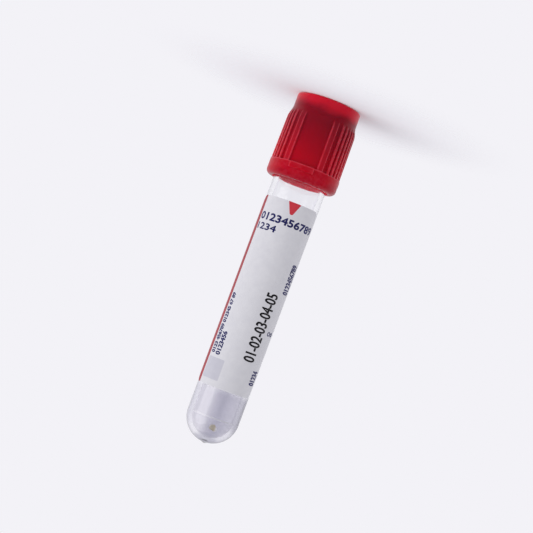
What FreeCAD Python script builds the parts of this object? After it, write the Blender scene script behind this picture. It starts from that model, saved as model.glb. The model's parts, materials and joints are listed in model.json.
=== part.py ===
"""Blood collection tube with a shielded closure, standing upside down on the closure.

Every piece is drawn about the tube's own axis: local z runs from the tip of the round end (0)
to the mouth, and local +x is the side with the middle of the label. The bodies are then turned
over, because the round end can't stand: the flat top of the closure rests on the floor at
Z = 0, the round end points up along the Z axis and the label faces -Y.
"""
import FreeCAD, Part
import math
import os
import Sketcher
from FreeCAD import Placement, Rotation, Vector

doc = FreeCAD.newDocument("CollectionTube")
sheet = doc.addObject("Spreadsheet::Sheet", "Dims")

# Driving dimensions in millimetres and degrees.
DIMENSIONS = {
    # clear tube
    "tube_length": 75.0,
    "gate_height": 0.2,
    "gate_radius": 0.45,
    "dome_radius": 6.3,
    "seat_height": 13.2,
    "neck_radius": 6.5,
    "bore_low_radius": 5.05,
    "bore_top_radius": 5.3,
    "rim_rounding": 0.35,
    # label
    "label_bottom": 13.3,
    "label_top": 59.6,
    "label_thickness": 0.1,
    "label_gap": 0.02,
    "label_span": 158.6,
    "label_turn": 4.3,
    "label_corner": 1.8,
    "label_core": 3.0,
    # rubber stopper
    "plug_end": 65.7,
    "plug_radius": 5.22,
    "plug_lead": 1.2,
    "hollow_radius": 2.5,
    "hollow_top": 72.5,
    "flange_bottom": 75.05,
    "flange_top": 78.0,
    "flange_radius": 6.85,
    "dish_radius": 2.6,
    "dish_depth": 1.1,
    # plastic shield
    "skirt_bottom": 64.6,
    "shield_top": 85.1,
    "skirt_bore": 6.9,
    "bead_bore": 6.6,
    "bead_bottom": 73.9,
    "bead_lead": 0.4,
    "bead_top": 74.95,
    "seat_top": 78.05,
    "well_radius": 4.6,
    "well_flare": 0.8,
    "collar_radius": 8.63,
    "collar_top": 68.4,
    "collar_rounding": 1.2,
    "grip_low_radius": 8.52,
    "grip_top": 78.9,
    "grip_top_radius": 8.39,
    "band_bottom": 81.85,
    "band_radius": 7.8,
    "band_rounding": 0.55,
    # grip pattern round the shield, in degrees from the middle of its front panel
    "root_radius": 8.0,
    "cut_radius": 9.4,
    "panel_half": 24.0,
    "side_panel_turn": 127.0,
    "gap_half": 3.8,
    "front_gap_turn": 38.8,
    "back_gap_turn": 88.2,
    "groove_half": 2.2,
    "groove_turn": 49.6,
    "groove_pitch": 9.25,
    "groove_count": 4,
    # raised strips on the collar
    "strip_radius": 8.93,
    "strip_bottom": 67.0,
    "strip_root": 8.2,
    "front_strip_half": 20.0,
    "back_strip_half": 71.5,
    "shield_turn": 7.0,
}


class Size:
    """A length or angle that knows its value and the sheet expression behind it."""

    def __init__(self, value, text):
        self.value = value
        self.text = text

    def __add__(self, other):
        return Size(self.value + other.value, f"({self.text} + {other.text})")

    def __sub__(self, other):
        return Size(self.value - other.value, f"({self.text} - {other.text})")

    def __mul__(self, other):
        return Size(self.value * other.value, f"({self.text} * {other.text})")

    def __truediv__(self, other):
        return Size(self.value / other.value, f"({self.text} / {other.text})")

    def sine(self):
        return Size(math.sin(math.radians(self.value)), f"sin({self.text} * 1 deg)")


ZERO = Size(0.0, "0")


def fill_sheet():
    """Write the dimensions into the sheet and return a Size for each alias."""
    sizes = {}
    for row, (alias, value) in enumerate(DIMENSIONS.items(), start=1):
        sheet.set(f"A{row}", alias)
        sheet.set(f"B{row}", str(value))
        sheet.setAlias(f"B{row}", alias)
        sizes[alias] = Size(value, f"Dims.{alias}")
    doc.recompute()
    return sizes


def new_body(label):
    body = doc.addObject("PartDesign::Body", label.capitalize())
    body.Label = label
    return body


def origin_feature(body, role):
    return next(item for item in body.Origin.OriginFeatures if item.Role == role)


def new_sketch(body, name, plane="XZ_Plane"):
    sketch = body.newObject("Sketcher::SketchObject", name)
    sketch.AttachmentSupport = [(origin_feature(body, plane), "")]
    sketch.MapMode = "FlatFace"
    return sketch


def bind(sketch, kind, geometry, size):
    """Add a dimensional constraint and drive it from the sheet."""
    index = sketch.addConstraint(Sketcher.Constraint(kind, *geometry, size.value))
    name = f"c{index}"
    sketch.renameConstraint(index, name)
    sketch.setExpression(f"Constraints.{name}", size.text)


def pin_corner(sketch, point, radius, height):
    """Hold an outline corner, given as (geometry, end), at a radius and a height."""
    if radius.value == 0:
        sketch.addConstraint(Sketcher.Constraint("PointOnObject", *point, -2))
    else:
        bind(sketch, "DistanceX", (-1, 1, *point), radius)
    if height.value == 0:
        sketch.addConstraint(Sketcher.Constraint("PointOnObject", *point, -1))
    else:
        bind(sketch, "DistanceY", (-1, 1, *point), height)


def half_section(body, name, corners, domes=()):
    """Sketch a closed half section through (radius, height) corners beside the axis.

    domes holds the numbers of the segments that are quarter circles centred on the axis,
    level with their outer end.
    """
    sketch = new_sketch(body, name)
    points = [Vector(radius.value, height.value, 0) for radius, height in corners]
    ends = []
    for number, start in enumerate(points):
        end = points[(number + 1) % len(points)]
        if number in domes:
            middle = Vector(0, max(start.y, end.y), 0)
            circle = Part.Circle(middle, Vector(0, 0, 1), (start - middle).Length)
            sketch.addGeometry(Part.ArcOfCircle(circle, -math.pi / 2, 0))
            ends.append((1, 2) if start.x < end.x else (2, 1))
        else:
            sketch.addGeometry(Part.LineSegment(start, end))
            ends.append((1, 2))
    for number, (radius, height) in enumerate(corners):
        before = (number - 1) % len(corners)
        point = (number, ends[number][0])
        sketch.addConstraint(Sketcher.Constraint("Coincident", before, ends[before][1], *point))
        pin_corner(sketch, point, radius, height)
    for number in domes:
        sketch.addConstraint(Sketcher.Constraint("PointOnObject", number, 3, -2))
    return sketch


def revolve(body, kind, sketch, span=None):
    """Turn a half section about the body's axis, all round or over a span centred on +x."""
    feature = body.newObject(f"PartDesign::{kind}", f"{sketch.Name}{kind}")
    feature.Profile = sketch
    feature.ReferenceAxis = (sketch, ["V_Axis"])
    feature.Angle = 360
    if span is not None:
        feature.Midplane = True
        feature.Angle = span.value
        feature.setExpression("Angle", span.text)
    doc.recompute()


def sector_sketch(body, name, inner, outer, half, turn, height):
    """Sketch a ring sector, centred at an angle round the axis, on a plane at a height."""
    sketch = new_sketch(body, name, "XY_Plane")
    sketch.AttachmentOffset = Placement(
        Vector(0, 0, height.value), Rotation(Vector(0, 0, 1), max(turn.value, 1.0))
    )
    sketch.setExpression("AttachmentOffset.Base.z", height.text)
    sketch.setExpression("AttachmentOffset.Rotation.Angle", turn.text)
    spread = math.radians(half.value)
    for radius in (inner, outer):
        circle = Part.Circle(Vector(), Vector(0, 0, 1), radius.value)
        sketch.addGeometry(Part.ArcOfCircle(circle, -spread, spread))
    for sign in (-1, 1):
        ray = Vector(math.cos(spread), sign * math.sin(spread), 0)
        sketch.addGeometry(Part.LineSegment(ray * inner.value, ray * outer.value))
    for arc, radius in enumerate((inner, outer)):
        sketch.addConstraint(Sketcher.Constraint("Coincident", arc, 3, -1, 1))
        bind(sketch, "Radius", (arc,), radius)
        bind(sketch, "DistanceY", (arc, 1, -1, 1), radius * half.sine())
        bind(sketch, "DistanceY", (-1, 1, arc, 2), radius * half.sine())
        for side in (1, 2):
            sketch.addConstraint(Sketcher.Constraint("Coincident", side + 1, arc + 1, arc, side))
    return sketch


def extrude(body, kind, sketch, length):
    """Pad or pocket a sketch upwards by a length and check that it changed the solid."""
    before = body.Tip.Shape.Volume
    feature = body.newObject(f"PartDesign::{kind}", f"{sketch.Name}{kind}")
    feature.Profile = sketch
    feature.Reversed = kind == "Pocket"
    feature.Length = length.value
    feature.setExpression("Length", length.text)
    doc.recompute()
    change = feature.Shape.Volume - before
    if change * (-1 if kind == "Pocket" else 1) <= 0:
        raise RuntimeError(f"{feature.Name} does not change the solid")
    return feature


def transform(body, kind, name, originals=()):
    feature = body.newObject(f"PartDesign::{kind}", name)
    if originals:
        feature.Originals = list(originals)
    return feature


def ring_edges(shape, radius, height):
    """Names of the full or part circles about the axis with a radius and a height."""
    names = []
    for number, edge in enumerate(shape.Edges, start=1):
        if edge.Degenerated or not isinstance(edge.Curve, Part.Circle):
            continue
        place = (edge.Curve.Radius - radius.value, edge.Curve.Center.z - height.value)
        if math.hypot(*place) < 1e-3:
            names.append(f"Edge{number}")
    return names


def round_edges(body, names, size):
    base = body.Tip
    feature = body.newObject("PartDesign::Fillet", "Rounding")
    feature.Base = (base, names)
    feature.Radius = size.value
    feature.setExpression("Radius", size.text)
    doc.recompute()


def dome_centre(dims):
    return dims["dome_radius"] + dims["gate_height"]


def wall_radius(dims, height):
    """Outer radius of the tapered wall at a height above its straight seat."""
    taper = (dims["neck_radius"] - dims["dome_radius"]) / (dims["tube_length"] - dims["seat_height"])
    return dims["dome_radius"] + taper * (height - dims["seat_height"])


def make_tube(dims):
    """Round-ended clear tube, straight at the foot and then tapered, with a gate on its tip."""
    body = new_body("tube")
    centre = dome_centre(dims)
    corners = [
        (ZERO, dims["gate_height"]),
        (dims["dome_radius"], centre),
        (dims["dome_radius"], dims["seat_height"]),
        (dims["neck_radius"], dims["tube_length"]),
        (dims["bore_top_radius"], dims["tube_length"]),
        (dims["bore_low_radius"], centre),
        (ZERO, centre - dims["bore_low_radius"]),
    ]
    revolve(body, "Revolution", half_section(body, "Wall", corners, domes=(0, 5)))
    names = []
    for radius in ("neck_radius", "bore_top_radius"):
        names += ring_edges(body.Tip.Shape, dims[radius], dims["tube_length"])
    round_edges(body, names, dims["rim_rounding"])
    gate = new_sketch(body, "Gate", "XY_Plane")
    gate.addGeometry(Part.Circle(Vector(), Vector(0, 0, 1), dims["gate_radius"].value))
    gate.addConstraint(Sketcher.Constraint("Coincident", 0, 3, -1, 1))
    bind(gate, "Radius", (0,), dims["gate_radius"])
    extrude(body, "Pad", gate, dims["gate_height"] + dims["gate_radius"])
    return body


def make_label(dims):
    """Thin label wrapped round part of the wall: a rounded block, hollowed to a sheet."""
    body = new_body("label")
    bottom, top, core = dims["label_bottom"], dims["label_top"], dims["label_core"]
    cover = dims["label_gap"] + dims["label_thickness"]
    block = [
        (core, bottom),
        (wall_radius(dims, bottom) + cover, bottom),
        (wall_radius(dims, top) + cover, top),
        (core, top),
    ]
    revolve(body, "Revolution", half_section(body, "Block", block), dims["label_span"])
    names = []
    for number, edge in enumerate(body.Tip.Shape.Edges, start=1):
        ends = [vertex.Point for vertex in edge.Vertexes]
        if len(ends) == 2 and abs(ends[0].z - ends[1].z) < 1e-6 and isinstance(edge.Curve, Part.Line):
            names.append(f"Edge{number}")
    round_edges(body, names, dims["label_corner"])
    low, high = bottom - core, top + core
    inside = [
        (ZERO, low),
        (wall_radius(dims, low) + dims["label_gap"], low),
        (wall_radius(dims, high) + dims["label_gap"], high),
        (ZERO, high),
    ]
    revolve(body, "Groove", half_section(body, "Inside", inside))
    return body


def make_stopper(dims):
    """Rubber stopper: hollow plug in the bore and a flange on the rim, dished on top."""
    body = new_body("stopper")
    lead_radius = dims["plug_radius"] - dims["plug_lead"] / Size(2.0, "2")
    corners = [
        (dims["hollow_radius"], dims["plug_end"]),
        (lead_radius, dims["plug_end"]),
        (dims["plug_radius"], dims["plug_end"] + dims["plug_lead"]),
        (dims["plug_radius"], dims["flange_bottom"]),
        (dims["flange_radius"], dims["flange_bottom"]),
        (dims["flange_radius"], dims["flange_top"]),
        (dims["dish_radius"], dims["flange_top"]),
        (dims["dish_radius"] - dims["dish_depth"], dims["flange_top"] - dims["dish_depth"]),
        (ZERO, dims["flange_top"] - dims["dish_depth"]),
        (ZERO, dims["hollow_top"]),
        (dims["hollow_radius"], dims["hollow_top"]),
    ]
    revolve(body, "Revolution", half_section(body, "Plug", corners))
    return body


def shield_section(body, dims):
    """Half section of the plain shield: skirt, bead under the flange, seat, web and well."""
    bead_start = dims["bead_bottom"] - dims["bead_lead"]
    corners = [
        (dims["skirt_bore"], dims["skirt_bottom"]),
        (dims["collar_radius"], dims["skirt_bottom"]),
        (dims["collar_radius"], dims["collar_top"]),
        (dims["grip_low_radius"], dims["collar_top"]),
        (dims["grip_top_radius"], dims["grip_top"]),
        (dims["band_radius"], dims["band_bottom"]),
        (dims["band_radius"], dims["shield_top"]),
        (dims["well_radius"] + dims["well_flare"], dims["shield_top"]),
        (dims["well_radius"], dims["shield_top"] - dims["well_flare"]),
        (dims["well_radius"], dims["seat_top"]),
        (dims["skirt_bore"], dims["seat_top"]),
        (dims["skirt_bore"], dims["bead_top"]),
        (dims["bead_bore"], dims["bead_top"]),
        (dims["bead_bore"], dims["bead_bottom"]),
        (dims["skirt_bore"], bead_start),
    ]
    return half_section(body, "Shell", corners)


def cut_sector(body, dims, name, half, turn=ZERO):
    """Cut a recess of the grip zone down to its root radius."""
    sizes = (dims["root_radius"], dims["cut_radius"], half, turn, dims["collar_top"])
    sketch = sector_sketch(body, name, *sizes)
    return extrude(body, "Pocket", sketch, dims["shield_top"] - dims["collar_top"])


def make_shield(dims):
    """Plastic shield: smooth band, ribbed grip with three plain panels, and a collar."""
    body = new_body("shield")
    revolve(body, "Revolution", shield_section(body, dims))
    top_edge = ring_edges(body.Tip.Shape, dims["band_radius"], dims["shield_top"])
    round_edges(body, top_edge, dims["band_rounding"])
    bottom_edge = ring_edges(body.Tip.Shape, dims["collar_radius"], dims["skirt_bottom"])
    round_edges(body, bottom_edge, dims["collar_rounding"])

    cut_sector(body, dims, "FrontPanel", dims["panel_half"])
    one_side = [
        cut_sector(body, dims, "SidePanel", dims["panel_half"], dims["side_panel_turn"]),
        cut_sector(body, dims, "FrontGap", dims["gap_half"], dims["front_gap_turn"]),
        cut_sector(body, dims, "BackGap", dims["gap_half"], dims["back_gap_turn"]),
    ]
    other_side = transform(body, "Mirrored", "OtherSide", one_side)
    other_side.MirrorPlane = (origin_feature(body, "XZ_Plane"), [""])
    body.Tip = other_side
    doc.recompute()

    groove = cut_sector(body, dims, "Groove", dims["groove_half"], dims["groove_turn"])
    grooves = transform(body, "MultiTransform", "Grooves", [groove])
    row = transform(body, "PolarPattern", "GrooveRow")
    row.Axis = (origin_feature(body, "Z_Axis"), [""])
    gaps = Size(DIMENSIONS["groove_count"] - 1, "(Dims.groove_count - 1)")
    row.Angle = (dims["groove_pitch"] * gaps).value
    row.setExpression("Angle", (dims["groove_pitch"] * gaps).text)
    row.Occurrences = DIMENSIONS["groove_count"]
    row.setExpression("Occurrences", "Dims.groove_count")
    both_sides = transform(body, "Mirrored", "GrooveMirror")
    both_sides.MirrorPlane = (origin_feature(body, "XZ_Plane"), [""])
    grooves.Transformations = [row, both_sides]
    body.Tip = grooves
    doc.recompute()

    half_turn = Size(180.0, "180")
    strips = {"FrontStrip": ("front_strip_half", ZERO), "BackStrip": ("back_strip_half", half_turn)}
    for name, (half, turn) in strips.items():
        sizes = (dims["strip_root"], dims["strip_radius"], dims[half], turn, dims["strip_bottom"])
        strip = sector_sketch(body, name, *sizes)
        extrude(body, "Pad", strip, dims["collar_top"] - dims["strip_bottom"])
    return body


def turn_over(bodies, dims):
    """Stand the pieces on the closure's flat top, over the origin, with local +x facing -Y."""
    spins = {"label": -dims["label_turn"].value, "shield": -dims["shield_turn"].value}
    turned = Rotation(Vector(0, 0, 1), 90).multiply(Rotation(Vector(0, 1, 0), 180))
    raised = Placement(Vector(0, 0, dims["shield_top"].value), turned)
    for body in bodies:
        spin = Placement(Vector(), Rotation(Vector(0, 0, 1), spins.get(body.Label, 0.0)))
        body.Placement = raised.multiply(spin)


def check(bodies):
    """Stop unless every object of the document computed and every piece is a valid solid."""
    for item in doc.Objects:
        if {"Invalid", "Error"} & set(item.State):
            raise RuntimeError(f"{item.Name} did not compute: {item.State}")
    for body in bodies:
        shape = body.Shape
        if shape.isNull() or not shape.isValid() or len(shape.Solids) != 1:
            raise RuntimeError(f"{body.Label} is not one valid solid")


dims = fill_sheet()
bodies = [make(dims) for make in (make_tube, make_label, make_stopper, make_shield)]
doc.recompute()
turn_over(bodies, dims)
doc.recompute()
check(bodies)
os.makedirs("parts", exist_ok=True)
for body in bodies:
    body.Shape.exportStep(f"parts/{body.Label}.step")
    print(body.Label, round(body.Shape.Volume, 2), "mm3")
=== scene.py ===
"""Looks of a blood collection tube: clear wall, printed label, rubber stopper and ribbed shield.

Shapes are drawn in millimetres about the tube's own axis and then placed by the frame: local z
runs from the tip of the round end to the mouth, local x points to the front, where the label is,
and turns in degrees are counted from the front towards local y. The tube stands upside down.
"""

import json
import math

import bmesh
import bpy
import numpy as np
from mathutils import Matrix, Vector
from mathutils.geometry import delaunay_2d_cdt


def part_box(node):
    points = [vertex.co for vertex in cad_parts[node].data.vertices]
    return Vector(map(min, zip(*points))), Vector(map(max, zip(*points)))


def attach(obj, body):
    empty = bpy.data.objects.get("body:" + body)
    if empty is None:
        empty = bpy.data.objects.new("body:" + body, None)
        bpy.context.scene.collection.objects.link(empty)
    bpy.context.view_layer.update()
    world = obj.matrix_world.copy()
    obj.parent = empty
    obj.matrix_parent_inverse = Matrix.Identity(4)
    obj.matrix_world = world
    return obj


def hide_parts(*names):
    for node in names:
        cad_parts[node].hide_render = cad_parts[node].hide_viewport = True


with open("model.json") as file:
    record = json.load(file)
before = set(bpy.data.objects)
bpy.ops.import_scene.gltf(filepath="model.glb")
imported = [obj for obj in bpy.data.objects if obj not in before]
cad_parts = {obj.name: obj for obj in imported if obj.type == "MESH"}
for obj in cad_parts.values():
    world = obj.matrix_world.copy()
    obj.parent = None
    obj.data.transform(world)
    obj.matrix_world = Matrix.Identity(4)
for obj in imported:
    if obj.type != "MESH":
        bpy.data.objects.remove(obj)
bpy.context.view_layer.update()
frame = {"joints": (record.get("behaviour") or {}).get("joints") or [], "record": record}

MM = 0.001
mounts = {mount["name"]: mount for mount in frame["record"]["mounts"]}
tip_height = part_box("tube")[1][2] / MM


def reach(node):
    """Nearest and farthest distance of a node along the tube from the tip of the round end."""
    low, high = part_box(node)
    return tip_height - high[2] / MM, tip_height - low[2] / MM


# Sizes that the frame gives, in millimetres
TUBE_LENGTH = reach("tube")[1]
NECK_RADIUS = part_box("tube")[1][0] / MM
DOME_RADIUS = mounts["wall_seat"]["dims"]["r_mm"]
LABEL_BOTTOM, LABEL_TOP = reach("label")
PLUG_END, FLANGE_TOP = reach("stopper")
FLANGE_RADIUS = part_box("stopper")[1][0] / MM
SKIRT_BOTTOM, SHIELD_TOP = reach("shield")
STRIP_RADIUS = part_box("shield")[1][1] / MM
COLLAR_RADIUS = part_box("shield")[1][0] / MM
WELL_RADIUS = mounts["needle_well"]["dims"]["r_mm"]

# Wall and label, in millimetres and degrees
GATE_HEIGHT = 0.2
GATE_RADIUS = 0.45
DOME_CENTRE = DOME_RADIUS + GATE_HEIGHT
SEAT_MIDDLE = tip_height - mounts["wall_seat"]["pos_m"][2] / MM
SEAT_HEIGHT = SEAT_MIDDLE + mounts["wall_seat"]["dims"]["length_mm"] / 2
BORE_LOW = 5.05
BORE_TOP = 5.3
SEAM_STEP = 0.015
COATING_TOP = 17.5
COATING_GAP = 0.01
COATING_THICKNESS = 0.04
RIM_ROUNDING = 0.35
LABEL_GAP = 0.02
LABEL_THICKNESS = 0.1
LABEL_EDGES = (-83.6, 75.0)
LABEL_CORNER = 1.8
LABEL_RADIUS = 6.5
LABEL_PITCH = 0.45

# Stopper and shield, in millimetres and degrees
PLUG_RADIUS = 5.22
PLUG_LEAD = 1.2
HOLLOW_RADIUS = 2.5
HOLLOW_TOP = 72.5
DISH_RADIUS = 2.6
DISH_DEPTH = 1.1
FLANGE_GAP = 0.05
SKIRT_BORE = 6.9
LIP_ROUNDING = 0.2
BEAD_BORE = 6.6
BEAD_HEIGHTS = (73.5, 73.9, 74.95)
WELL_FLARE = 0.8
COLLAR_TOP = 68.4
COLLAR_ROUNDING = 1.2
COLLAR_EDGE = 0.22
STRIP_BOTTOM = 67.0
STRIP_EDGE_WIDTH = 1.2
# Half width of each raised strip by the turn of its middle
STRIP_HALVES = {0: 20.0, 180: 71.5}
GRIP_LOW_RADIUS = 8.52
GRIP_TOP = 78.9
GRIP_TOP_RADIUS = 8.39
BAND_BOTTOM = 81.85
BAND_RADIUS = 7.8
BAND_ROUNDING = 0.55
ROOT_RADIUS = 8.0
SHIELD_TURN = -7.0
PANEL_HALF = 24.0
SIDE_PANEL_TURN = 127.0
GAP_HALF = 3.8
GAP_TURNS = (38.8, 88.2)
GROOVE_HALF = 2.2
GROOVE_TURNS = [49.6 + 9.25 * number for number in range(4)]
EDGE_WIDTH = 1.9

# Corners round the axis
TURN_STEPS = 192
SHIELD_STEPS = 1080
# Painted highlight, mixed with wear, on the edges of the ribs: how many corners away the surface is
# compared with, and for what share
CREST_SHARES = ((6, 0.5), (18, 0.06))
CREST_HEIGHT = 0.12


# --- the tube's own frame ---------------------------------------------------------------------

def local_frame():
    """Matrix from the tube's own millimetres to the frame."""
    twist = next(joint for joint in frame["joints"] if joint["name"] == "closure_twist")
    along = -Vector(twist["axis"]).normalized()
    tip = Vector((0, 0, tip_height * MM))
    front = Vector((0, -1, 0))
    turn = Matrix((front, along.cross(front), along)).transposed().to_4x4()
    return Matrix.Translation(tip) @ turn @ Matrix.Scale(MM, 4)


LOCAL = local_frame()


def polar(radius, degrees, height):
    angle = math.radians(degrees)
    return Vector((radius * math.cos(angle), radius * math.sin(angle), height))


def wall_radius(height):
    """Outer radius of the wall, straight up to the seat's end and tapered beyond it."""
    rise = (NECK_RADIUS - DOME_RADIUS) / (TUBE_LENGTH - SEAT_HEIGHT)
    return DOME_RADIUS + rise * max(height - SEAT_HEIGHT, 0)


# --- materials --------------------------------------------------------------------------------

def srgb(red, green, blue):
    """Linear colour, with full alpha, of a colour given on the 0 to 255 scale of screens."""
    linear = []
    for value in (red, green, blue):
        share = value / 255
        linear.append(share / 12.92 if share <= 0.04045 else ((share + 0.055) / 1.055) ** 2.4)
    return (*linear, 1.0)


class Nodes:
    """Short way to add and link nodes of one material or world."""

    def __init__(self, owner):
        owner.use_nodes = True
        self.tree = owner.node_tree
        self.tree.nodes.clear()

    def add(self, kind, settings=None, **inputs):
        """Add a node; inputs are socket values or sockets to link, _ standing for a space."""
        node = self.tree.nodes.new("ShaderNode" + kind)
        for key, value in (settings or {}).items():
            setattr(node, key, value)
        for key, value in inputs.items():
            self.give(node.inputs[key.replace("_", " ")], value)
        return node

    def give(self, socket, value):
        """Link a socket to another one, or set its value."""
        if isinstance(value, bpy.types.NodeSocket):
            self.tree.links.new(value, socket)
        else:
            socket.default_value = value

    def noise(self, size, detail=3.0):
        """Noise over the piece with features about this many millimetres across."""
        place = self.add("TexCoord").outputs["Object"]
        return self.add("TexNoise", Vector=place, Scale=1 / (size * MM), Detail=detail).outputs["Fac"]

    def spread(self, source, low, high):
        """Map the usual range of a noise to a range of values."""
        ramp = self.add("MapRange", Value=source)
        for name, value in (("From Min", 0.3), ("From Max", 0.7), ("To Min", low), ("To Max", high)):
            ramp.inputs[name].default_value = value
        return ramp.outputs["Result"]

    def blend(self, factor, first, second):
        """Colour between two colours, given or made by other nodes, by a factor."""
        mix = self.add("Mix", {"data_type": "RGBA"})
        self.tree.links.new(factor, mix.inputs["Factor"])
        for name, colour in (("A", first), ("B", second)):
            socket = next(s for s in mix.inputs if s.name == name and s.type == "RGBA")
            self.give(socket, colour)
        return next(s for s in mix.outputs if s.type == "RGBA")

    def place(self, axis):
        """One coordinate of a point on the piece, in millimetres of the frame."""
        parts = self.add("SeparateXYZ", Vector=self.add("TexCoord").outputs["Object"])
        return self.math("DIVIDE", parts.outputs[axis], MM)

    def from_axis(self):
        """Distance of a point on the piece from the tube's axis, in millimetres."""
        squares = [self.math("POWER", self.place(axis), 2.0) for axis in "XY"]
        return self.math("POWER", self.math("ADD", *squares), 0.5)

    def math(self, operation, first, second):
        """Arithmetic on two numbers, each a socket or a value."""
        node = self.add("Math", {"operation": operation})
        for socket, value in zip(node.inputs, (first, second)):
            self.give(socket, value)
        return node.outputs["Value"]

    def ease(self, source, start, end, low=0.0, high=1.0):
        """Smooth change from low at start to high at end."""
        step = self.add("MapRange", {"interpolation_type": "SMOOTHSTEP"}, Value=source)
        for name, value in (("From Min", start), ("From Max", end), ("To Min", low), ("To Max", high)):
            step.inputs[name].default_value = value
        return step.outputs["Result"]

    def shade(self, source, stops):
        """Colours along a number; stops are (number, colour) in rising order."""
        first, last = stops[0][0], stops[-1][0]
        share = self.math("DIVIDE", self.math("SUBTRACT", source, first), last - first)
        ramp = self.add("ValToRGB", Fac=share)
        elements = ramp.color_ramp.elements
        elements.remove(elements[1])
        elements[0].color = stops[0][1]
        for number, colour in stops[1:]:
            elements.new((number - first) / (last - first)).color = colour
        return ramp.outputs["Color"]

    def bump(self, height, depth, strength=1.0):
        """Relief of a given depth in millimetres."""
        return self.add("Bump", Height=height, Distance=depth * MM, Strength=strength).outputs["Normal"]

    def mix(self, factor, first, second):
        """Shader between two shaders by a factor."""
        node = self.add("MixShader", Fac=factor)
        self.tree.links.new(first, node.inputs[1])
        self.tree.links.new(second, node.inputs[2])
        return node.outputs["Shader"]

    def surface(self, socket):
        self.add("OutputMaterial", Surface=socket)


def moulded(name, colours, roughness, patch, grain, depth, **settings):
    """Solid material with soft colour patches, fine grain and uneven gloss, sizes in millimetres."""
    material = bpy.data.materials.new(name)
    nodes = Nodes(material)
    shades = nodes.spread(nodes.noise(patch), 0.0, 1.0)
    fine = nodes.noise(grain, detail=5.0)
    shader = nodes.add(
        "BsdfPrincipled",
        Base_Color=nodes.blend(shades, *colours),
        Roughness=nodes.spread(fine, *roughness),
        Normal=nodes.bump(fine, depth),
        **settings,
    )
    nodes.surface(shader.outputs["BSDF"])
    return material


def clear_plastic(name, painted_edge_shades):
    """Clear polyester: bends light, faintly uneven, and lets lamps and soft light through; painted shade
    greys its round end and darkens its outline, more on one side.
    """
    material = bpy.data.materials.new(name)
    nodes = Nodes(material)
    waves = nodes.noise(3.2)
    smudges = nodes.noise(1.1, detail=6.0)
    clear = nodes.blend(nodes.spread(waves, 0.0, 1.0), *PET_TINTS)
    # Painted shade: the round end is greyed, darker on one side
    low = nodes.ease(nodes.place("Z"), *(tip_height - height for height in PAINTED_SHADE_HEIGHTS))
    tint_and_painted_shade = nodes.blend(low, clear, nodes.shade(nodes.place("X"), PET_PAINTED_SHADE))
    gate = nodes.ease(nodes.place("Z"), *(tip_height - height for height in GATE_TINT_HEIGHTS))
    tint_and_painted_shade = nodes.blend(gate, tint_and_painted_shade, PET_TIP)
    # Painted dark outline where the wall is seen edge-on, darker on one side
    edge = nodes.ease(nodes.add("LayerWeight", Blend=0.5).outputs["Facing"], 0.48, 0.9)
    painted_edge_shade = nodes.blend(low, PET_NECK_PAINTED_EDGE_SHADE, nodes.shade(nodes.place("X"), painted_edge_shades))
    shader = nodes.add(
        "BsdfPrincipled",
        Base_Color=nodes.blend(edge, tint_and_painted_shade, painted_edge_shade),
        Roughness=nodes.spread(smudges, 0.015, 0.07),
        Normal=nodes.bump(waves, 0.012),
        IOR=1.575,
        Specular_IOR_Level=0.3,
        Transmission_Weight=1.0,
    )
    unbent = nodes.add("BsdfTransparent", Color=PET_UNBENT).outputs["BSDF"]
    path = nodes.add("LightPath")
    surface = shader.outputs["BSDF"]
    for ray in ("Is Shadow Ray", "Is Diffuse Ray"):
        surface = nodes.mix(path.outputs[ray], surface, unbent)
    nodes.surface(surface)
    return material


PET_TINTS = (srgb(250, 250, 252), srgb(253, 253, 254))
# Painted dark outline by millimetres from the middle, darker on one side, and the one at the neck
PET_PAINTED_EDGE_SHADES = ((-6.5, srgb(96, 95, 110)), (0.0, srgb(112, 111, 126)), (6.5, srgb(168, 167, 180)))
PET_NECK_PAINTED_EDGE_SHADE = srgb(206, 205, 214)
PET_TIP = srgb(172, 171, 184)
PET_UNBENT = (0.93, 0.93, 0.94, 1.0)
# Heights between which the painted shade of the round end and the tint of the gate set in
PAINTED_SHADE_HEIGHTS = (14.5, 12.0)
GATE_TINT_HEIGHTS = (1.3, 0.7)
# Painted shade of the round end by millimetres from its middle, darker on one side
PET_PAINTED_SHADE = (
    (-6.5, srgb(146, 145, 160)),
    (-6.0, srgb(168, 167, 180)),
    (-5.5, srgb(226, 225, 232)),
    (-4.6, srgb(234, 233, 239)),
    (-1.0, srgb(218, 217, 226)),
    (0.8, srgb(230, 229, 236)),
    (2.2, srgb(246, 245, 249)),
    (4.6, srgb(246, 245, 249)),
    (5.6, srgb(230, 229, 237)),
    (6.5, srgb(226, 225, 234)),
)
pet = clear_plastic("clear_polyester", PET_PAINTED_EDGE_SHADES)
pet_bore = clear_plastic("clear_polyester_bore", [(place, PET_TINTS[0]) for place in (-6.5, 6.5)])


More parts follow.
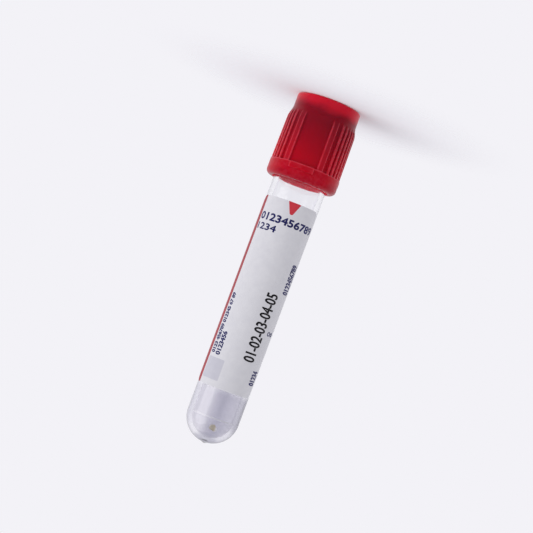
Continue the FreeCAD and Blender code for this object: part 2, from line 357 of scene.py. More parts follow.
def shield_plastic():
    """Red plastic with painted light: a highlight at the flat top, a highlight mixed with wear on the
    rib edges and the collar's rim, and a glow inside the skirt's mouth.

    Painted shade makes it darkest below the band, and it is redder again towards the collar.
    """
    material = bpy.data.materials.new("shield_polypropylene")
    nodes = Nodes(material)
    drift = nodes.spread(nodes.noise(5.0), -0.7, 0.7)
    height = nodes.math("ADD", nodes.place("Z"), drift)
    fine = nodes.noise(0.25, detail=5.0)
    scuffs = nodes.noise(0.7)
    crest = nodes.add("Attribute", {"attribute_name": "crest"}).outputs["Fac"]
    # Painted highlight on the rib edges and along the collar's rim, mixed with wear, and pale patches
    # below the rim
    from_rim = nodes.math("SUBTRACT", nodes.place("Z"), SHIELD_TOP - COLLAR_TOP + 0.1)
    rim = nodes.ease(nodes.math("ABSOLUTE", from_rim, 0.0), 0.24, 0.08, 0.0, 0.7)
    below_rim = nodes.ease(from_rim, 0.0, 0.4, 0.0, 0.12)
    collar = nodes.math("MULTIPLY", below_rim, nodes.ease(scuffs, 0.4, 0.7))
    edges = nodes.math("MAXIMUM", crest, rim)
    wear_and_painted_highlight = nodes.math("MULTIPLY", edges, nodes.spread(scuffs, 0.4, 1.0))
    wear_and_painted_highlight = nodes.math("MAXIMUM", wear_and_painted_highlight, collar)
    # Painted glow inside the skirt's mouth
    inside = nodes.ease(nodes.from_axis(), SKIRT_BORE + 0.2, SKIRT_BORE + 0.05)
    glow = nodes.math("MULTIPLY", inside, nodes.ease(nodes.place("Z"), *SHIELD_GLOW_HEIGHTS))
    # Painted light by height: a highlight at the flat top, shade below the band
    red = nodes.blend(glow, nodes.shade(height, SHIELD_PAINTED_LIGHT_REDS), SHIELD_PAINTED_GLOW)
    shader = nodes.add(
        "BsdfPrincipled",
        Base_Color=nodes.blend(wear_and_painted_highlight, red, SHIELD_WEAR_AND_HIGHLIGHT),
        Roughness=nodes.spread(scuffs, 0.3, 0.37),
        Normal=nodes.bump(fine, 0.01),
        Specular_IOR_Level=0.18,
        Subsurface_Weight=0.6,
        Subsurface_Radius=(1.0, 0.12, 0.15),
        Subsurface_Scale=1.2 * MM,
    )
    nodes.surface(shader.outputs["BSDF"])
    return material


# Pale red of the painted highlights and the wear on the edges and the collar
SHIELD_WEAR_AND_HIGHLIGHT = srgb(216, 72, 90)
SHIELD_PAINTED_GLOW = srgb(252, 66, 88)
# Millimetres from the flat top between which the painted glow inside the skirt sets in
SHIELD_GLOW_HEIGHTS = (14.0, 18.0)
# Reds of the shield by millimetres from its flat top: a painted highlight at the top, painted shade
# below the band
SHIELD_PAINTED_LIGHT_REDS = (
    (0.0, srgb(206, 26, 50)),
    (1.6, srgb(197, 20, 44)),
    (3.4, srgb(137, 12, 32)),
    (6.0, srgb(132, 9, 29)),
    (10.0, srgb(152, 3, 27)),
    (14.5, srgb(174, 0, 26)),
    (18.6, srgb(180, 0, 29)),
    (19.8, srgb(162, 2, 30)),
    (20.5, srgb(160, 6, 32)),
)
shield_red = shield_plastic()
rubber_red = moulded(
    "stopper_rubber",
    colours=(srgb(172, 14, 40), srgb(190, 22, 48)),
    roughness=(0.5, 0.68),
    patch=3.0,
    grain=0.12,
    depth=0.012,
)


def coating():
    """Thin grey haze of the dried clotting aid that also serves as painted shade in the round end,
    denser on one side, with a painted highlight along the seam on the front.
    """
    material = bpy.data.materials.new("wall_coating")
    nodes = Nodes(material)
    low = nodes.ease(nodes.place("Z"), tip_height - COATING_TOP + 0.5, tip_height - COATING_TOP + 5.0)
    # Painted shade: the haze is denser on one side
    side = nodes.ease(nodes.place("X"), 1.8, -0.6, *COATING_PAINTED_SHADE)
    grain = nodes.spread(nodes.noise(0.35, detail=6.0), 0.75, 1.25)
    painted_shade_cloud = nodes.math("MULTIPLY", nodes.math("MULTIPLY", low, side), grain)
    mist = nodes.blend(nodes.spread(nodes.noise(1.5), 0.0, 1.0), *COATING_GREYS_AND_SHADE)
    # Painted highlight: a white line along the seam, on the front half only
    from_seam = nodes.math("SUBTRACT", nodes.place("Z"), tip_height - DOME_CENTRE)
    painted_seam_highlight = nodes.ease(nodes.math("ABSOLUTE", from_seam, 0.0), 0.25, 0.1)
    painted_seam_highlight = nodes.math("MULTIPLY", painted_seam_highlight, nodes.ease(nodes.place("Y"), -1.5, -3.5))
    amount = nodes.math("ADD", painted_shade_cloud, nodes.math("MULTIPLY", low, COATING_THIN))
    amount = nodes.math("MAXIMUM", amount, nodes.math("MULTIPLY", painted_seam_highlight, COATING_SEAM_HIGHLIGHT))
    tint = nodes.blend(painted_seam_highlight, mist, srgb(255, 255, 255))
    clear = nodes.add("BsdfTransparent").outputs["BSDF"]
    nodes.surface(nodes.mix(amount, clear, nodes.add("BsdfDiffuse", Color=tint).outputs["BSDF"]))
    return material


# Greys of the haze, which also serve as painted shade
COATING_GREYS_AND_SHADE = (srgb(206, 205, 214), srgb(218, 217, 225))
# How solid the coating is: everywhere, what its painted shade adds from side to side, and along the
# seam's painted highlight
COATING_THIN = 0.02
COATING_PAINTED_SHADE = (0.02, 0.06)
COATING_SEAM_HIGHLIGHT = 0.55
haze_and_painted_shade = coating()


def residue():
    """Dried clotting aid, beige on one side of the drop and white on the other."""
    material = bpy.data.materials.new("residue")
    nodes = Nodes(material)
    grain = nodes.noise(0.4, detail=5.0)
    across = nodes.math("ADD", nodes.place("X"), nodes.spread(grain, -0.25, 0.25))
    shader = nodes.add(
        "BsdfPrincipled",
        Base_Color=nodes.shade(across, RESIDUE_TINTS),
        Roughness=nodes.spread(grain, 0.4, 0.6),
        Normal=nodes.bump(grain, 0.02),
    )
    nodes.surface(shader.outputs["BSDF"])
    return material


# Tints of the drop by millimetres across
RESIDUE_TINTS = (
    (-1.4, srgb(255, 255, 255)),
    (-1.1, srgb(206, 190, 142)),
    (-0.7, srgb(200, 188, 150)),
    (-0.1, srgb(214, 206, 182)),
)
residue_beige = residue()


def printed(name, colour, other):
    """Satin label film, or one of its inks."""
    return moulded(
        name, (colour, other), roughness=(0.38, 0.5), patch=1.4, grain=0.09, depth=0.003,
        Specular_IOR_Level=0.4,
    )


film_white = printed("label_film", srgb(209, 208, 214), srgb(214, 213, 218))
ink_red = printed("ink_red", srgb(196, 42, 58), srgb(208, 54, 68))
ink_wine = printed("ink_wine", srgb(150, 22, 38), srgb(164, 34, 48))
ink_blue = printed("ink_blue", srgb(18, 20, 88), srgb(28, 30, 100))
ink_black = printed("ink_black", srgb(28, 26, 30), srgb(40, 38, 42))
ink_pale = printed("ink_pale", srgb(190, 189, 200), srgb(195, 194, 204))


# --- mesh helpers -----------------------------------------------------------------------------

def add_piece(name, mesh, materials, body, node=None):
    """Make a mesh in local millimetres a piece of the object."""
    mesh.transform(LOCAL)
    for material in materials:
        mesh.materials.append(material)
    piece = bpy.data.objects.new(name, mesh)
    bpy.context.scene.collection.objects.link(piece)
    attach(piece, body)
    if node:
        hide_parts(node)
    return piece


def smooth_mesh(name, bm, sharp_degrees=40.0):
    """Mesh from a bmesh, smooth apart from edges sharper than an angle."""
    bmesh.ops.recalc_face_normals(bm, faces=bm.faces)
    mesh = bpy.data.meshes.new(name)
    bm.to_mesh(mesh)
    bm.free()
    mesh.shade_smooth()
    mesh.set_sharp_from_angle(angle=math.radians(sharp_degrees))
    return mesh


def arc(centre_r, centre_z, radius, start, end, steps):
    """Points of a round stretch of a half section, angles in degrees from +r towards +z."""
    points = []
    for step in range(steps + 1):
        angle = math.radians(start + (end - start) * step / steps)
        points.append((centre_r + radius * math.cos(angle), centre_z + radius * math.sin(angle)))
    return points


def stretch(start, end, steps):
    """Points along a straight stretch of a half section, without its ends."""
    shares = [step / steps for step in range(1, steps)]
    return [(start[0] + (end[0] - start[0]) * f, start[1] + (end[1] - start[1]) * f) for f in shares]


def lathe(profile, steps=TURN_STEPS):
    """Closed solid of revolution; the profile starts and ends on the axis."""
    bm = bmesh.new()
    rings = []
    for radius, height in profile[1:-1]:
        rings.append([bm.verts.new(polar(radius, 360 * k / steps, height)) for k in range(steps)])
    for low, high in zip(rings, rings[1:]):
        for k in range(steps):
            after = (k + 1) % steps
            bm.faces.new((low[k], low[after], high[after], high[k]))
    for (_, height), ring in ((profile[0], rings[0]), (profile[-1], rings[-1])):
        pole = bm.verts.new((0, 0, height))
        for k in range(steps):
            bm.faces.new((ring[k], ring[(k + 1) % steps], pole))
    return bm


def standing_out(radii, away):
    """How far each radius stands out over those some corners away on both sides, 0 to 1."""
    around = (np.roll(radii, away) + np.roll(radii, -away)) / 2
    return np.clip((radii - around) / CREST_HEIGHT, 0, 1)


def ring_grid(rows, steps, turn):
    """Closed ring; each row gives a radius and a height for a turn about the axis.

    The vertex layer crest is high on the edges of ribs, lower between them and 0 elsewhere.
    """
    bm = bmesh.new()
    crest = bm.verts.layers.float.new("crest")
    turns = [360 * k / steps for k in range(steps)]
    rings = []
    for row in rows:
        radii, heights = zip(*(row(place) for place in turns))
        stands = sum(share * standing_out(np.array(radii), away) for away, share in CREST_SHARES)
        ring = []
        for radius, place, height, stand in zip(radii, turns, heights, stands):
            vert = bm.verts.new(polar(radius, place + turn, height))
            vert[crest] = stand
            ring.append(vert)
        rings.append(ring)
    for index, low in enumerate(rings):
        high = rings[(index + 1) % len(rings)]
        for k in range(steps):
            after = (k + 1) % steps
            bm.faces.new((low[k], low[after], high[after], high[k]))
    return bm


def ease(value):
    """Smooth step from 0 to 1."""
    value = min(max(value, 0.0), 1.0)
    return value * value * (3 - 2 * value)


# --- tube -------------------------------------------------------------------------------------

def tube_profile():
    """Half section of the wall: gate, dome, seat, taper, rounded rim and bore."""
    neck = NECK_RADIUS - RIM_ROUNDING
    bore = BORE_TOP + RIM_ROUNDING
    rim = TUBE_LENGTH - RIM_ROUNDING
    foot = math.degrees(math.asin(2 * GATE_RADIUS / DOME_RADIUS))
    gate = []
    for step in range(1, 10):
        share = step / 10
        radius = 2 * GATE_RADIUS * share
        sphere = DOME_CENTRE - math.sqrt(DOME_RADIUS ** 2 - radius ** 2)
        gate.append((radius, sphere - GATE_HEIGHT * (1 - ease(share))))
    return [
        (0, 0),
        *gate,
        *arc(0, DOME_CENTRE, DOME_RADIUS, foot - 90, 0, 40),
        (DOME_RADIUS, SEAT_HEIGHT),
        *stretch((DOME_RADIUS, SEAT_HEIGHT), (wall_radius(rim), rim), 12),
        *arc(neck, rim, RIM_ROUNDING, 0, 90, 6),
        *arc(bore, rim, RIM_ROUNDING, 90, 180, 6),
        *stretch((BORE_TOP, rim), (BORE_LOW, DOME_CENTRE), 12),
        (BORE_LOW, DOME_CENTRE + SEAM_STEP),
        *arc(0, DOME_CENTRE, BORE_LOW - SEAM_STEP, 0, -89, 32),
        (0, DOME_CENTRE - BORE_LOW + SEAM_STEP),
    ]


def coating_profile():
    """Half section of the thin coating in the round end, open towards the mouth."""
    outer = BORE_LOW - SEAM_STEP - COATING_GAP
    inner = outer - COATING_THICKNESS
    widening = (BORE_TOP - BORE_LOW) * (COATING_TOP - DOME_CENTRE) / (TUBE_LENGTH - DOME_CENTRE)
    return [
        (0, DOME_CENTRE - outer),
        *arc(0, DOME_CENTRE, outer, -89, 0, 32),
        *stretch((outer, DOME_CENTRE), (outer + widening, COATING_TOP), 10),
        (outer + widening, COATING_TOP),
        (inner + widening, COATING_TOP),
        *stretch((inner + widening, COATING_TOP), (inner, DOME_CENTRE), 10),
        *arc(0, DOME_CENTRE, inner, 0, -89, 32),
        (0, DOME_CENTRE - inner),
    ]


# The dried drop: its middle and half sizes are in degrees, round the axis and below the level of
# the dome's centre, its gap and thickness in millimetres. One side is thicker by a share, and
# each wave of its edge has a size, a count and a shift.
DROP_TURN, DROP_DOWN = 10.0, 24.0
DROP_HALF_TURN, DROP_HALF_DOWN = 10.0, 9.0
DROP_GAP, DROP_THICKNESS = 0.06, 0.3
DROP_SLANT = 0.4
DROP_WAVES = ((0.18, 2, 0.6), (0.1, 3, 0.0), (0.06, 7, 0.0))


def residue_spot(share, angle):
    """Point of the drop at a share of the way from its middle to its edge."""
    edge = 1 + sum(size * math.sin(count * angle + shift) for size, count, shift in DROP_WAVES)
    turn = DROP_TURN + DROP_HALF_TURN * share * edge * math.cos(angle)
    down = math.radians(DROP_DOWN + DROP_HALF_DOWN * share * edge * math.sin(angle))
    lift = DROP_THICKNESS * (1 - share ** 3) * (1 + DROP_SLANT * math.cos(angle))
    radius = BORE_LOW - SEAM_STEP - DROP_GAP - lift
    return polar(radius * math.cos(down), turn, DOME_CENTRE - radius * math.sin(down))


def residue_patch():
    """Dried drop on the inside of the round end, a low lens with an uneven edge."""
    bm = bmesh.new()
    rings = 5
    steps = 28
    middle = bm.verts.new(residue_spot(0, 0))
    angles = [2 * math.pi * k / steps for k in range(steps)]
    loops = []
    for ring in range(1, rings + 1):
        loops.append([bm.verts.new(residue_spot(ring / rings, angle)) for angle in angles])
    for k in range(steps):
        after = (k + 1) % steps
        bm.faces.new((middle, loops[0][k], loops[0][after]))
        for inner, outer in zip(loops, loops[1:]):
            bm.faces.new((inner[k], outer[k], outer[after], inner[after]))
    bm.faces.new(reversed(loops[-1]))
    return bm


def make_tube():
    """The tube, whose bore doesn't take the darker painted shade of the outer outline."""
    bm = lathe(tube_profile())
    for face in bm.faces:
        middle = face.calc_center_median()
        deep = middle.z > DOME_CENTRE
        inner = middle.xy.length if deep else (middle - Vector((0, 0, DOME_CENTRE))).length
        face.material_index = int(inner < BORE_TOP + RIM_ROUNDING)
    mesh = smooth_mesh("clear_tube", bm)
    add_piece("clear_tube", mesh, [pet, pet_bore], "vessel", "tube")


def make_coating():
    """The coating, which soft light passes as if it weren't there."""
    mesh = smooth_mesh("wall_coating", lathe(coating_profile()))
    add_piece("wall_coating", mesh, [haze_and_painted_shade], "vessel").visible_diffuse = False


def make_drop():
    mesh = smooth_mesh("dried_drop", residue_patch())
    add_piece("dried_drop", mesh, [residue_beige], "vessel")


make_tube()
make_coating()
make_drop()


# --- label ------------------------------------------------------------------------------------
# The label is drawn flat, as (across, along) millimetres: across is the arc from the front.

def across(degrees):
    """Place on the flat label of a turn about the axis."""
    return LABEL_RADIUS * math.radians(degrees)


class Region:
    """Part of the flat label inside closed outlines, given as points and the edges that join them."""

    def __init__(self, points, edges=None):
        self.points = np.array(points, float)
        count = len(self.points)
        self.edges = edges if edges is not None else [(k, (k + 1) % count) for k in range(count)]

    def covers(self, places):
        """Which places are inside, by counting the outline's crossings."""
        inside = np.zeros(len(places), bool)
        for start, end in self.edges:
            (x0, y0), (x1, y1) = self.points[start], self.points[end]
            if y0 != y1:
                crossed = (y0 > places[:, 1]) != (y1 > places[:, 1])
                inside ^= crossed & (places[:, 0] < x0 + (places[:, 1] - y0) * (x1 - x0) / (y1 - y0))
        return inside


def box(left, right, low, high):
    return Region([(left, low), (right, low), (right, high), (left, high)])


def rounded_box(left, right, low, high, radius, steps=8):
    corners = ((right, high, 0), (left, high, 90), (left, low, 180), (right, low, 270))
    points = []
    for x, y, start in corners:
        centre_x = x - radius if x == right else x + radius
        centre_y = y - radius if y == high else y + radius
        points += arc(centre_x, centre_y, radius, start, start + 90, steps)
    return Region(points)


def ring_mark(x, y, outer, inner, steps=20):
    """Ring as two outlines."""
    points = []
    for radius in (outer, inner):
        points += arc(x, y, radius, 0, 360 - 360 / steps, steps - 1)
    edges = [(k, (k + 1) % steps) for k in range(steps)]
    edges += [(steps + k, steps + (k + 1) % steps) for k in range(steps)]
    return Region(points, edges)


def pointer(middle, top, width, height, tip_radius):
    """Triangle hanging from an edge, with a rounded tip."""
    half_angle = math.degrees(math.atan2(width / 2, height))
    tip = top - height + tip_radius / math.sin(math.radians(half_angle)) - tip_radius
    return Region([
        (middle - width / 2, top),
        *arc(middle, tip + tip_radius, tip_radius, 180 + half_angle, 360 - half_angle, 8),
        (middle + width / 2, top),
    ])


def outline_loops(edges):
    """Points of each closed outline in drawing order."""
    following = dict(edges)
    loops = []
    while following:
        start, place = following.popitem()
        loop = [start]
        while place != start:
            loop.append(place)
            place = following.pop(place)
        loops.append(loop)
    return loops


def digits(text, length, height, weight):
    """Plain digits of the built-in typeface, fitted to a length and a height, then made bolder."""
    curve = bpy.data.curves.new("digits", "FONT")
    curve.body = text
    curve.fill_mode = "NONE"
    curve.resolution_u = 3
    holder = bpy.data.objects.new("digits", curve)
    flat = bpy.data.meshes.new_from_object(holder)
    points = np.array([vertex.co[:2] for vertex in flat.vertices])
    edges = [tuple(edge.vertices) for edge in flat.edges]
    bpy.data.objects.remove(holder)
    bpy.data.meshes.remove(flat)
    points -= points.min(axis=0)
    points *= np.array([length, height]) / points.max(axis=0)
    for loop in outline_loops(edges):
        ring = points[loop]
        points[loop] = ring + weight * mitres(ring)
    return points, edges


def mitres(ring):
    """Outward steps of an outline's points that move all its edges by the same distance."""
    along = np.roll(ring, -1, axis=0) - ring
    along /= np.maximum(np.linalg.norm(along, axis=1, keepdims=True), 1e-9)
    after = np.stack([along[:, 1], -along[:, 0]], axis=1)
    both = after + np.roll(after, 1, axis=0)
    return both / np.maximum((both ** 2).sum(axis=1, keepdims=True) / 2, 0.5)


def row_across(text, turns, heights, weight):
    """Digits that read round the tube, between two turns and two heights."""
    left, right = (across(turn) for turn in turns)
    low, high = heights
    points, edges = digits(text, right - left, high - low, weight)
    return Region(points + (left, low), edges)


def row_along(text, turns, heights, weight):
    """Digits that read along the tube towards the mouth, their tops to the left."""
    left, right = (across(turn) for turn in turns)
    low, high = heights
    points, edges = digits(text, high - low, right - left, weight)
    return Region(np.stack([right - points[:, 1], low + points[:, 0]], axis=1), edges)


def label_print():
    """Printed regions of the label, each with the number of its material.

    Rows of digits are given by their turns and heights, and by how much bolder they are made.
    """
    red, blue, black, pale, wine = 1, 2, 3, 4, 5
    spare = 1.0
    left = across(LABEL_EDGES[0]) - spare
    return [
        (box(left, across(-65.2), LABEL_BOTTOM - spare, LABEL_TOP + spare), wine),
        (pointer(across(5.0), LABEL_TOP + 0.3, 3.3, 4.1, 0.5), red),
        (row_across("0123456789", (-62, 71), (53.9, 55.6), 0.1), blue),
        (row_across("1234", (-62, -14), (51.5, 53.0), 0.07), blue),
        (row_along("0123 456789 012345 67 89", (-61, -50.5), (20.8, 35.4), 0.08), blue),
        (row_along("0123456", (-46.5, -35), (20.6, 26.2), 0.08), blue),
        (rounded_box(across(-62), across(-18), 14.8, 19.8, 0.3, 4), pale),
        (row_along("01-02-03-04-05", (16.4, 42.2), (21.5, 38.1), 0.09), black),
        (row_along("0123456789", (52, 71), (38.9, 46.1), 0.1), blue),
        (row_along("01234", (52, 71), (16.4, 19.8), 0.1), blue),
        (ring_mark(across(56), 29.0, 0.55, 0.28), blue),
        (ring_mark(across(66), 29.0, 0.55, 0.16), blue),
    ]


def short_edges(region, pitch):
    """Points and edges of a region with its long edges cut up, so that they bend round the wall."""
    points = list(region.points)
    edges = []
    for start, end in region.edges:
        step = region.points[end] - region.points[start]
        parts = math.ceil(np.linalg.norm(step) / pitch)
        chain = [start, *range(len(points), len(points) + parts - 1), end]
        points += [region.points[start] + step * part / parts for part in range(1, parts)]
        edges += zip(chain, chain[1:])
    return points, edges


def flat_label(outline, regions, pitch):
    """Triangles of the flat label and the material of each."""
    points, edges = [], []
    for region in [outline] + [region for region, _ in regions]:
        region_points, region_edges = short_edges(region, pitch)
        edges += [(start + len(points), end + len(points)) for start, end in region_edges]
        points += [Vector(point) for point in region_points]
    low, high = outline.points.min(axis=0), outline.points.max(axis=0)
    for row in range(1, int((high[1] - low[1]) / pitch)):
        for column in range(1, int((high[0] - low[0]) / pitch)):
            shift = 0.5 if row % 2 else 0.0
            points.append(Vector((low[0] + (column + shift) * pitch, low[1] + row * pitch)))
    spots, _, faces, *_ = delaunay_2d_cdt(points, edges, [], 0, 1e-5)
    spots = np.array([tuple(spot) for spot in spots])
    faces = np.array(faces)
    middles = spots[faces].mean(axis=1)
    faces, middles = faces[outline.covers(middles)], middles[outline.covers(middles)]
    material = np.zeros(len(faces), int)
    for region, number in regions:
        material[region.covers(middles)] = number
    return spots, faces, material


def label_mesh():
    """Label wrapped round the wall: a printed outer face, a plain inner one and a rim."""
    left, right = (across(edge) for edge in LABEL_EDGES)
    outline = rounded_box(left, right, LABEL_BOTTOM, LABEL_TOP, LABEL_CORNER)
    spots, faces, material = flat_label(outline, label_print(), LABEL_PITCH)
    used = sorted(set(faces.flatten().tolist()))
    verts, normals = [], []
    for lift, sign in ((LABEL_GAP + LABEL_THICKNESS, 1), (LABEL_GAP, -1)):
        for index in used:
            turn = math.degrees(spots[index][0] / LABEL_RADIUS)
            height = float(spots[index][1])
            verts.append(polar(wall_radius(height) + lift, turn, height))
            normals.append(polar(sign, turn, 0))
    number = {index: place for place, index in enumerate(used)}
    outer = [[number[index] for index in face] for face in faces.tolist()]
    inner = [[place + len(used) for place in reversed(face)] for face in outer]
    sides = dict.fromkeys(side for face in outer for side in zip(face, face[1:] + face[:1]))
    rim = []
    for start, end in sides:
        if (end, start) not in sides:
            rim.append([end, start, start + len(used), end + len(used)])
    mesh = bpy.data.meshes.new("wrapped_label")
    mesh.from_pydata(verts, [], outer + inner + rim)
    mesh.polygons.foreach_set("material_index", [*material.tolist(), *[0] * (len(inner) + len(rim))])
    mesh.shade_smooth()
    mesh.update()
    return mesh, normals


def make_label():
    """The label, shaded as a smooth roll whatever its print does to the triangles."""
    mesh, normals = label_mesh()
    add_piece(
        "wrapped_label", mesh, [film_white, ink_red, ink_blue, ink_black, ink_pale, ink_wine],
        "vessel", "label",
    )
    turned = LOCAL.to_3x3().normalized()
    mesh.normals_split_custom_set_from_vertices([(turned @ normal).normalized() for normal in normals])


make_label()


# --- stopper ----------------------------------------------------------------------------------

def stopper_profile():
    """Half section of the stopper: hollow, plug, flange and dished top, with soft edges."""
    soft = 0.18
    flange_bottom = TUBE_LENGTH + FLANGE_GAP
    lead = PLUG_RADIUS - PLUG_LEAD / 2
    return [
        (0, HOLLOW_TOP),
        *arc(HOLLOW_RADIUS - 0.6, HOLLOW_TOP - 0.6, 0.6, 90, 0, 5),
        *arc(HOLLOW_RADIUS + soft, PLUG_END + soft, soft, 180, 270, 4),
        *arc(lead - soft, PLUG_END + soft, soft, 270, 335, 4),
        (PLUG_RADIUS, PLUG_END + PLUG_LEAD),
        *stretch((PLUG_RADIUS, PLUG_END + PLUG_LEAD), (PLUG_RADIUS, flange_bottom), 6),
        (PLUG_RADIUS, flange_bottom),
        *arc(FLANGE_RADIUS - soft, flange_bottom + soft, soft, 270, 360, 4),
        *arc(FLANGE_RADIUS - soft, FLANGE_TOP - soft, soft, 0, 90, 4),
        *arc(DISH_RADIUS + soft, FLANGE_TOP - soft, soft, 90, 135, 3),
        *arc(DISH_RADIUS - DISH_DEPTH - 0.1, FLANGE_TOP - DISH_DEPTH + 0.3, 0.3, 315, 270, 3),
        (0, FLANGE_TOP - DISH_DEPTH),
    ]


def make_stopper():
    mesh = smooth_mesh("rubber_stopper", lathe(stopper_profile()))
    add_piece("rubber_stopper", mesh, [rubber_red], "plug", "stopper")


make_stopper()


# --- shield -----------------------------------------------------------------------------------

def off_centre(turn, centre):
    """Degrees between two turns, the short way round."""
    return abs((turn - centre + 180) % 360 - 180)


def valleys():
    """Centre and half width of every recess between the ribs."""
    places = [(0.0, PANEL_HALF)]
    for side in (-1, 1):
        places.append((side * SIDE_PANEL_TURN, PANEL_HALF))
        places += [(side * turn, GAP_HALF) for turn in GAP_TURNS]
        places += [(side * turn, GROOVE_HALF) for turn in GROOVE_TURNS]
    return places


VALLEYS = valleys()


def rib(turn):
    """1 on the crown of a rib, 0 in a recess, with eased flanks."""
    clear = min(off_centre(turn, centre) - half for centre, half in VALLEYS)
    return ease(clear / EDGE_WIDTH + 0.5)


def strip(turn):
    """1 on the raised strips of the collar, 0 between them."""
    inside = max(half - off_centre(turn, centre) for centre, half in STRIP_HALVES.items())
    return ease(inside / STRIP_EDGE_WIDTH + 0.5)


def crown(height):
    """Radius over the ribs, easing in to the band above the grip."""
    if height < GRIP_TOP:
        share = (height - COLLAR_TOP) / (GRIP_TOP - COLLAR_TOP)
        return GRIP_LOW_RADIUS + (GRIP_TOP_RADIUS - GRIP_LOW_RADIUS) * share
    share = (height - GRIP_TOP) / (BAND_BOTTOM - GRIP_TOP)
    return GRIP_TOP_RADIUS + (BAND_RADIUS - GRIP_TOP_RADIUS) * ease(share)


def grip_radius(turn, height):
    top = crown(height)
    return top if top < ROOT_RADIUS else ROOT_RADIUS + (top - ROOT_RADIUS) * rib(turn)


def collar_radius(turn):
    return COLLAR_RADIUS + (STRIP_RADIUS - COLLAR_RADIUS) * strip(turn)


def plain_row(radius, height):
    return lambda turn: (radius, height)


def collar_edge_row(angle):
    """Row on the rounded upper edge of the collar."""
    def row(turn):
        rim = collar_radius(turn)
        size = min(COLLAR_EDGE, 0.6 * (rim - grip_radius(turn, COLLAR_TOP)))
        radians = math.radians(angle)
        return rim - size * (1 - math.cos(radians)), COLLAR_TOP - size * (1 - math.sin(radians))
    return row


def grip_row(height, out=0.0):
    return lambda turn: (grip_radius(turn, height) + out, height)


def shield_rows():
    """Rows of the shield from the skirt's lip up the outside and back down the inside."""
    lip = arc(SKIRT_BORE + LIP_ROUNDING, SKIRT_BOTTOM + LIP_ROUNDING, LIP_ROUNDING, 180, 270, 4)
    collar_foot = arc(
        COLLAR_RADIUS - COLLAR_ROUNDING, SKIRT_BOTTOM + COLLAR_ROUNDING, COLLAR_ROUNDING, -90, 0, 10
    )
    top_edge = arc(BAND_RADIUS - BAND_ROUNDING, SHIELD_TOP - BAND_ROUNDING, BAND_ROUNDING, 0, 90, 8)
    flare = [(WELL_RADIUS + WELL_FLARE, SHIELD_TOP), (WELL_RADIUS, SHIELD_TOP - WELL_FLARE)]
    bead_start, bead_bottom, bead_top = BEAD_HEIGHTS
    rows = [plain_row(*point) for point in lip + collar_foot]
    rows.append(plain_row(COLLAR_RADIUS, STRIP_BOTTOM - 0.1))
    rows.append(lambda turn: ((COLLAR_RADIUS + 3 * collar_radius(turn)) / 4, STRIP_BOTTOM))
    rows.append(lambda turn: (collar_radius(turn), STRIP_BOTTOM + 0.12))
    rows.append(lambda turn: (collar_radius(turn), (STRIP_BOTTOM + COLLAR_TOP) / 2))
    rows += [collar_edge_row(angle) for angle in (0, 30, 60, 90)]
    rows += [grip_row(COLLAR_TOP + rise, out) for rise, out in ((0.0, 0.04), (0.04, 0.0))]
    grip_steps = 9
    ramp_steps = 18
    for step in range(1, grip_steps + 1):
        rows.append(grip_row(COLLAR_TOP + (GRIP_TOP - COLLAR_TOP) * step / grip_steps))
    for step in range(1, ramp_steps + 1):
        rows.append(grip_row(GRIP_TOP + (BAND_BOTTOM - GRIP_TOP) * step / ramp_steps))
    rows += [plain_row(*point) for point in top_edge + flare]
    seat = FLANGE_TOP + FLANGE_GAP
    rows += [plain_row(*point) for point in stretch(flare[1], (WELL_RADIUS, seat), 3)]
    inside = [
        (WELL_RADIUS, seat),
        (SKIRT_BORE, seat),
        (SKIRT_BORE, bead_top),
        (BEAD_BORE, bead_top),
        (BEAD_BORE, bead_bottom),
        (SKIRT_BORE, bead_start),
        (SKIRT_BORE, (bead_start + SKIRT_BOTTOM) / 2),
    ]
    rows += [plain_row(*point) for point in inside]
    return rows


def make_shield():
    bm = ring_grid(shield_rows(), SHIELD_STEPS, SHIELD_TURN)
    mesh = smooth_mesh("ribbed_shield", bm, sharp_degrees=62.0)
    add_piece("ribbed_shield", mesh, [shield_red], "cover", "shield")


make_shield()


# --- floor, light and camera ------------------------------------------------------------------

BACKDROP = srgb(243, 242, 247)
DARK_ROOM = srgb(40, 40, 44)
PAPERS = (srgb(241, 240, 245), srgb(245, 244, 249))
# Metres from the floor's middle to its edges, and between which it fades out
FLOOR_HALF = 0.6
FLOOR_FADE = (0.007, 0.05)
SOFT_LIGHT = (0.97, 0.97, 1.0, 1.0)
SOFT_STRENGTH = 0.8
# The lamp and the camera, placed in local millimetres
KEY_PLACE = (420.0, -800.0, -300.0)
KEY_SIZE = 1000.0
KEY_POWER = 4.6
KEY_COLOUR = (1.0, 0.99, 0.98)
CAMERA_PLACE = (340.0, 0.0, 28.6)
CAMERA_TARGET = (0.0, -0.59, 43.8)
CAMERA_LEAN = math.radians(20.4)
CAMERA_LENS = 97.7
SENSOR_WIDTH = 36.0


def make_floor():
    """Pale floor that fades into the backdrop away from the tube."""
    mesh = bpy.data.meshes.new("floor")
    corners = [(-1, -1), (1, -1), (1, 1), (-1, 1)]
    mesh.from_pydata([(x * FLOOR_HALF, y * FLOOR_HALF, 0) for x, y in corners], [], [(0, 1, 2, 3)])
    floor = bpy.data.objects.new("floor", mesh)
    bpy.context.scene.collection.objects.link(floor)
    material = bpy.data.materials.new("floor_paper")
    nodes = Nodes(material)
    paper = nodes.blend(nodes.noise(0.6), *PAPERS)
    diffuse = nodes.add("BsdfDiffuse", Color=paper)
    clear = nodes.add("BsdfTransparent")
    place = nodes.add("TexCoord").outputs["Object"]
    distance = nodes.add("VectorMath", {"operation": "LENGTH"}, Vector=place).outputs["Value"]
    fade = nodes.ease(distance, *FLOOR_FADE)
    nodes.surface(nodes.mix(fade, diffuse.outputs["BSDF"], clear.outputs["BSDF"]))
    mesh.materials.append(material)
    floor.visible_glossy = False


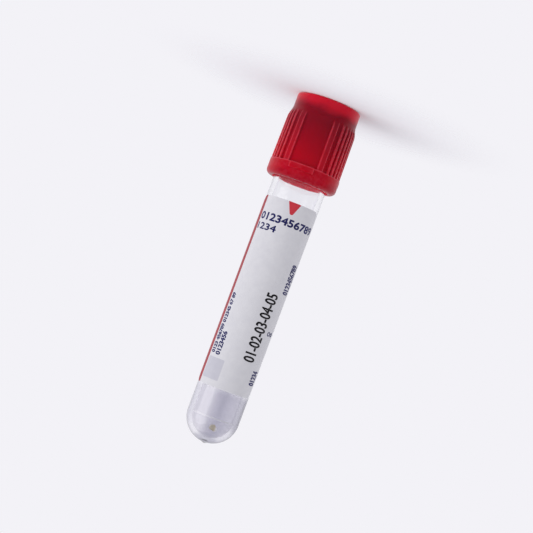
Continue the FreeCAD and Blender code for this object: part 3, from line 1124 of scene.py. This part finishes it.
def make_world():
    """Even studio light. The camera and reflections see a pale backdrop instead.

    Reflections see a dark room as well, on the side that the label faces.
    """
    world = bpy.data.worlds.new("studio")
    world.cycles.sampling_method = "NONE"
    bpy.context.scene.world = world
    nodes = Nodes(world)
    light = nodes.add("Background", Color=SOFT_LIGHT, Strength=SOFT_STRENGTH)
    path = nodes.add("LightPath")
    heading = nodes.add("SeparateXYZ", Vector=nodes.add("TexCoord").outputs["Generated"])
    front = nodes.ease(heading.outputs["Y"], 0.3, -0.3)
    mirrored = nodes.math("SUBTRACT", path.outputs["Is Glossy Ray"], path.outputs["Is Transmission Ray"])
    room = nodes.math("MULTIPLY", front, mirrored)
    seen = nodes.add("Background", Color=nodes.blend(room, BACKDROP, DARK_ROOM), Strength=1.0)
    shown = nodes.math("MAXIMUM", path.outputs["Is Camera Ray"], path.outputs["Is Glossy Ray"])
    shown = nodes.math("MAXIMUM", shown, path.outputs["Is Transmission Ray"])
    both = nodes.mix(shown, light.outputs["Background"], seen.outputs["Background"])
    nodes.add("OutputWorld", Surface=both)


def add_lamp(name, place, target, size, power, colour):
    """Soft square lamp that faces a target; place and target are local millimetres."""
    light = bpy.data.lights.new(name, "AREA")
    light.shape = "SQUARE"
    light.size = size * MM
    light.energy = power
    light.color = colour
    lamp = bpy.data.objects.new(name, light)
    lamp.location = LOCAL @ Vector(place)
    aim = (LOCAL @ Vector(target)) - lamp.location
    lamp.rotation_euler = aim.to_track_quat("-Z", "Y").to_euler()
    lamp.visible_camera = False
    lamp.visible_glossy = False
    bpy.context.scene.collection.objects.link(lamp)


def make_camera():
    """Camera in front of the label, turned so that the closure points up and to the right."""
    data = bpy.data.cameras.new("camera")
    data.sensor_width = SENSOR_WIDTH
    data.lens = CAMERA_LENS
    data.clip_start = 0.01
    camera = bpy.data.objects.new("camera", data)
    bpy.context.scene.collection.objects.link(camera)
    place = LOCAL @ Vector(CAMERA_PLACE)
    target = LOCAL @ Vector(CAMERA_TARGET)
    back = (place - target).normalized()
    up = LOCAL.to_3x3() @ Vector((0.0, -math.sin(CAMERA_LEAN), math.cos(CAMERA_LEAN)))
    right = up.cross(back).normalized()
    turn = Matrix((right, back.cross(right), back)).transposed().to_4x4()
    camera.matrix_world = Matrix.Translation(place) @ turn
    bpy.context.scene.camera = camera


make_floor()
make_world()
add_lamp("key", KEY_PLACE, (0.0, 0.0, SHIELD_TOP / 2), KEY_SIZE, KEY_POWER, KEY_COLOUR)
make_camera()
bpy.context.scene.view_settings.view_transform = "Standard"
